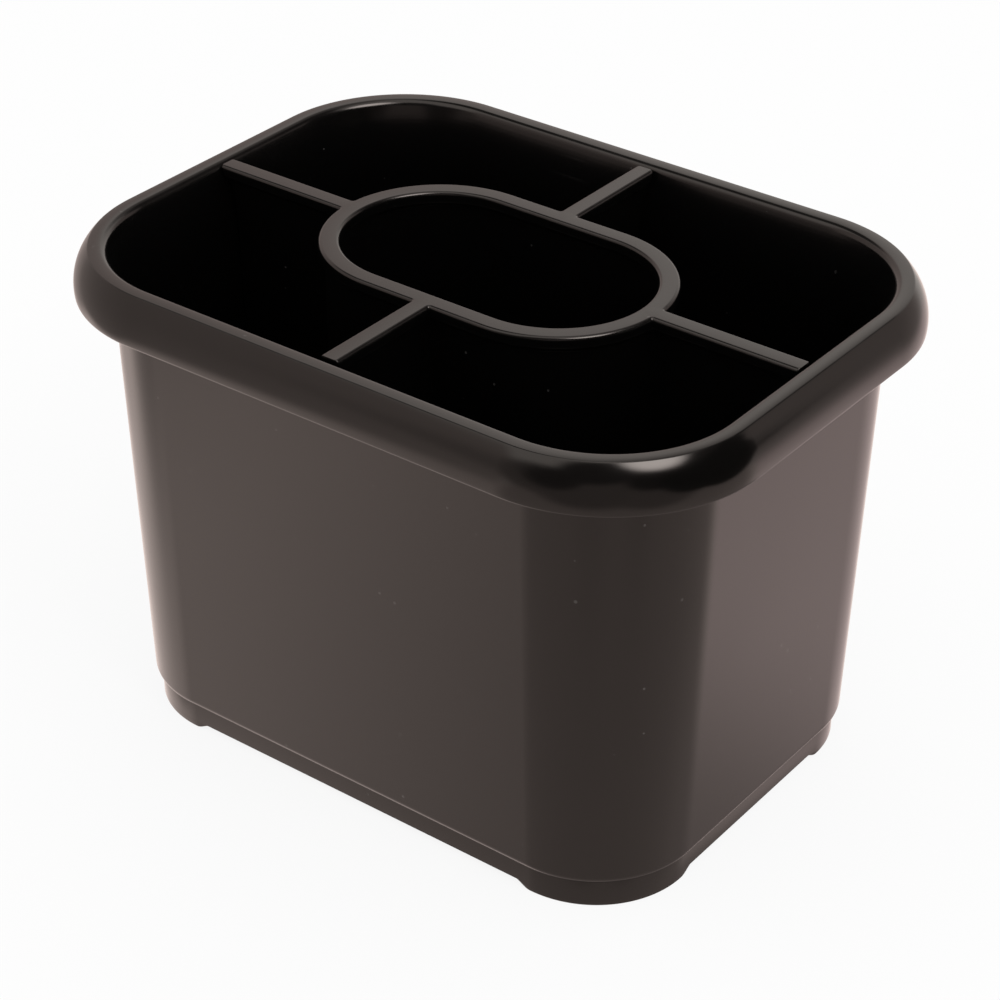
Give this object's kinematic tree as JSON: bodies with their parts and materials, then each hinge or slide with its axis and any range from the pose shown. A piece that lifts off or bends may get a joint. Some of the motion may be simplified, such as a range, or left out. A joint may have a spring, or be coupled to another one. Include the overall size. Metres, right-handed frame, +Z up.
{
  "type": "cutlery drainer",
  "caption": "Rectangular cutlery drainer: a tapered tub with a rolled rim collar, a lift-out divider with an oval centre cell, and a drip tray on moulded feet.",
  "frame": {"origin": "middle of the footprint, on the surface that the feet stand on", "axes": "+X along the long side, +Y along the short side, +Z up"},
  "size_m": [0.19, 0.144, 0.131],
  "materials": {
    "tray_plastic": "moulded gloss black",
    "tub_plastic": "moulded gloss black",
    "divider_plastic": "moulded gloss black"
  },
  "bodies": {
    "drip_tray": {"drip_tray": "tray_plastic"},
    "tub": {"tub": "tub_plastic"},
    "divider": {"divider": "divider_plastic"}
  },
  "joints": [
    {"name": "tub_lift", "type": "slide", "parent": "drip_tray", "child": "tub", "axis": [0, 0, 1], "range_m": [0, 0.03]},
    {"name": "divider_lift", "type": "slide", "parent": "tub", "child": "divider", "axis": [0, 0, 1], "range_m": [0, 0.13]}
  ]
}
